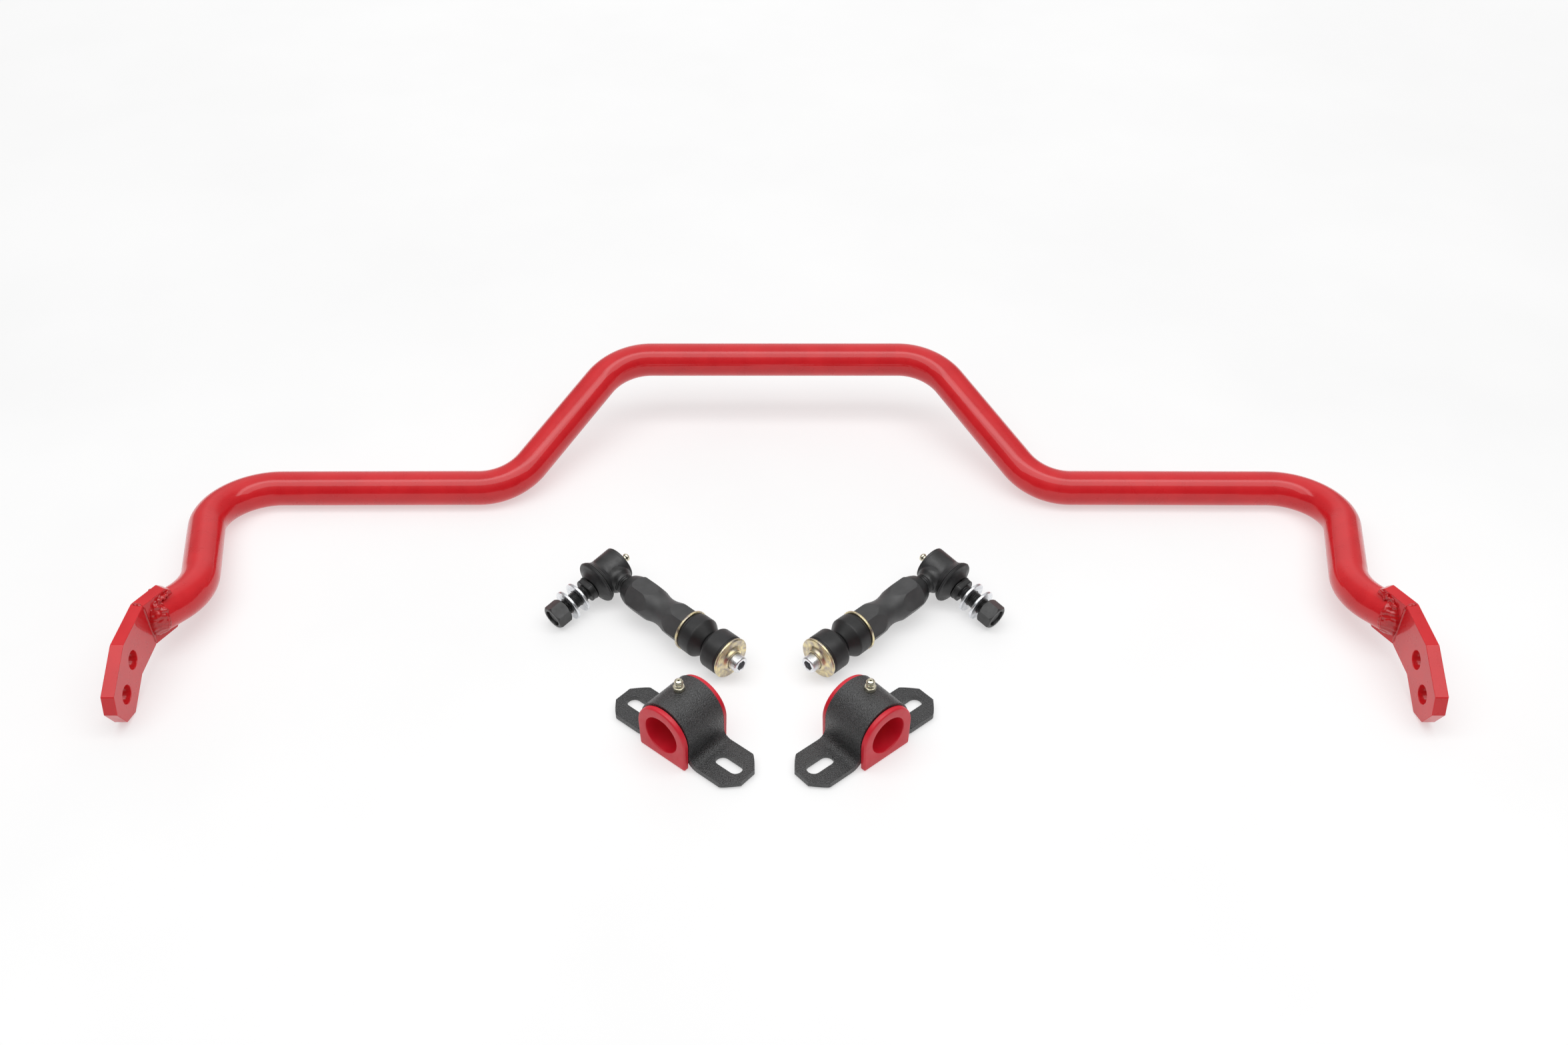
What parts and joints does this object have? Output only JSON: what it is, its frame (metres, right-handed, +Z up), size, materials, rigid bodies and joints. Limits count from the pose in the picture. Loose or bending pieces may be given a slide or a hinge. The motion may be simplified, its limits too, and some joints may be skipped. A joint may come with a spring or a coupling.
{
  "type": "sway bar kit",
  "caption": "Anti-roll bar with a raised centre hump and welded flat-bar arms, laid out with its ball-jointed end links, saddle brackets and bushings.",
  "frame": {"origin": "centre of the laid-out kit's footprint, on the floor it lies on", "axes": "+X along the bar's length, to the vehicle's right as the picture shows it; +Y from the arm tips towards the hump; +Z up from the floor"},
  "size_m": [0.9423, 0.4544, 0.0743],
  "materials": {
    "red_powder_coat": "gloss red powder coat over steel",
    "black_oxide": "satin black finish on machined steel",
    "textured_black": "wrinkled black powder coat over steel",
    "black_rubber": "satin moulded rubber",
    "bright_zinc": "bright zinc plate",
    "yellow_zinc": "mottled yellow zinc plate",
    "red_urethane": "matte moulded polyurethane",
    "natural_nylon": "plain moulded nylon"
  },
  "bodies": {
    "bar": {"bar_tube": "red_powder_coat", "tab_plate_left": "red_powder_coat", "arm_plate_left": "red_powder_coat", "weld_inner_left": "red_powder_coat", "weld_outer_left": "red_powder_coat", "tab_plate_right": "red_powder_coat", "arm_plate_right": "red_powder_coat", "weld_inner_right": "red_powder_coat", "weld_outer_right": "red_powder_coat"},
    "link_left": {"link_body_left": "black_oxide", "jam_collar_left": "black_oxide", "lower_stud_left": "bright_zinc", "cup_washer_upper_left": "yellow_zinc", "grommet_upper_left": "black_rubber"},
    "housing_left": {"ball_housing_left": "black_oxide", "housing_cover_left": "black_oxide", "grease_fitting_link_left": "bright_zinc", "dust_boot_left": "black_rubber"},
    "seat_left": {"bearing_seat_left": "natural_nylon"},
    "stud_left": {"ball_stud_left": "black_oxide"},
    "washer_inner_left": {"washer_inner_left": "bright_zinc"},
    "washer_outer_left": {"washer_outer_left": "bright_zinc"},
    "nut_left": {"stud_nut_left": "black_oxide"},
    "grommet_lower_left": {"grommet_lower_left": "black_rubber"},
    "cup_washer_lower_left": {"cup_washer_lower_left": "yellow_zinc"},
    "bushing_left": {"bushing_left": "red_urethane"},
    "bracket_left": {"bracket_left": "textured_black", "grease_fitting_saddle_left": "bright_zinc"},
    "link_right": {"link_body_right": "black_oxide", "jam_collar_right": "black_oxide", "lower_stud_right": "bright_zinc", "cup_washer_upper_right": "yellow_zinc", "grommet_upper_right": "black_rubber"},
    "housing_right": {"ball_housing_right": "black_oxide", "housing_cover_right": "black_oxide", "grease_fitting_link_right": "bright_zinc", "dust_boot_right": "black_rubber"},
    "seat_right": {"bearing_seat_right": "natural_nylon"},
    "stud_right": {"ball_stud_right": "black_oxide"},
    "washer_inner_right": {"washer_inner_right": "bright_zinc"},
    "washer_outer_right": {"washer_outer_right": "bright_zinc"},
    "nut_right": {"stud_nut_right": "black_oxide"},
    "grommet_lower_right": {"grommet_lower_right": "black_rubber"},
    "cup_washer_lower_right": {"cup_washer_lower_right": "yellow_zinc"},
    "bushing_right": {"bushing_right": "red_urethane"},
    "bracket_right": {"bracket_right": "textured_black", "grease_fitting_saddle_right": "bright_zinc"}
  },
  "joints": [
    {"name": "link_left_lift", "type": "slide", "parent": "bar", "child": "link_left", "axis": [0, 0, 1], "range_m": [0, 0.15]},
    {"name": "stem_left_turn", "type": "hinge", "parent": "link_left", "child": "housing_left", "pos_m": [-0.1283, -0.02755, 0.0205], "axis": [-0.7275, 0.6856, 0.0279], "continuous": true},
    {"name": "stud_left_swing", "type": "hinge", "parent": "housing_left", "child": "seat_left", "pos_m": [-0.1283, -0.02755, 0.0205], "axis": [-0.105, -0.1515, 0.9829], "range_deg": [-15, 15], "deforming": ["dust_boot_left"]},
    {"name": "stud_left_spin", "type": "hinge", "parent": "seat_left", "child": "stud_left", "pos_m": [-0.1283, -0.02755, 0.0205], "axis": [-0.678, -0.7121, -0.1822], "continuous": true},
    {"name": "washer_inner_left_slide", "type": "slide", "parent": "stud_left", "child": "washer_inner_left", "axis": [-0.678, -0.7121, -0.1822], "range_m": [-0.005, 0.0035]},
    {"name": "washer_outer_left_slide", "type": "slide", "parent": "stud_left", "child": "washer_outer_left", "axis": [-0.678, -0.7121, -0.1822], "range_m": [-0.0035, 0.0025]},
    {"name": "nut_left_run", "type": "slide", "parent": "stud_left", "child": "nut_left", "axis": [-0.678, -0.7121, -0.1822], "range_m": [0, 0.014]},
    {"name": "grommet_lower_left_slide", "type": "slide", "parent": "link_left", "child": "grommet_lower_left", "axis": [0.7275, -0.6856, -0.0279], "range_m": [0, 0.01]},
    {"name": "cup_washer_lower_left_slide", "type": "slide", "parent": "grommet_lower_left", "child": "cup_washer_lower_left", "axis": [0.7275, -0.6856, -0.0279], "range_m": [0, 0.0128]},
    {"name": "bushing_left_lift", "type": "slide", "parent": "bar", "child": "bushing_left", "axis": [0, 0, 1], "range_m": [0, 0.15]},
    {"name": "bracket_left_off", "type": "slide", "parent": "bushing_left", "child": "bracket_left", "axis": [0, 0, 1], "range_m": [0, 0.06]},
    {"name": "link_right_lift", "type": "slide", "parent": "bar", "child": "link_right", "axis": [0, 0, 1], "range_m": [0, 0.15]},
    {"name": "stem_right_turn", "type": "hinge", "parent": "link_right", "child": "housing_right", "pos_m": [0.1283, -0.02755, 0.0205], "axis": [-0.7275, -0.6856, -0.0279], "continuous": true},
    {"name": "stud_right_swing", "type": "hinge", "parent": "housing_right", "child": "seat_right", "pos_m": [0.1283, -0.02755, 0.0205], "axis": [0.105, -0.1515, 0.9829], "range_deg": [-15, 15], "deforming": ["dust_boot_right"]},
    {"name": "stud_right_spin", "type": "hinge", "parent": "seat_right", "child": "stud_right", "pos_m": [0.1283, -0.02755, 0.0205], "axis": [0.678, -0.7121, -0.1822], "continuous": true},
    {"name": "washer_inner_right_slide", "type": "slide", "parent": "stud_right", "child": "washer_inner_right", "axis": [0.678, -0.7121, -0.1822], "range_m": [-0.005, 0.0035]},
    {"name": "washer_outer_right_slide", "type": "slide", "parent": "stud_right", "child": "washer_outer_right", "axis": [0.678, -0.7121, -0.1822], "range_m": [-0.0035, 0.0025]},
    {"name": "nut_right_run", "type": "slide", "parent": "stud_right", "child": "nut_right", "axis": [0.678, -0.7121, -0.1822], "range_m": [0, 0.014]},
    {"name": "grommet_lower_right_slide", "type": "slide", "parent": "link_right", "child": "grommet_lower_right", "axis": [-0.7275, -0.6856, -0.0279], "range_m": [0, 0.01]},
    {"name": "cup_washer_lower_right_slide", "type": "slide", "parent": "grommet_lower_right", "child": "cup_washer_lower_right", "axis": [-0.7275, -0.6856, -0.0279], "range_m": [0, 0.0128]},
    {"name": "bushing_right_lift", "type": "slide", "parent": "bar", "child": "bushing_right", "axis": [0, 0, 1], "range_m": [0, 0.15]},
    {"name": "bracket_right_off", "type": "slide", "parent": "bushing_right", "child": "bracket_right", "axis": [0, 0, 1], "range_m": [0, 0.06]}
  ]
}
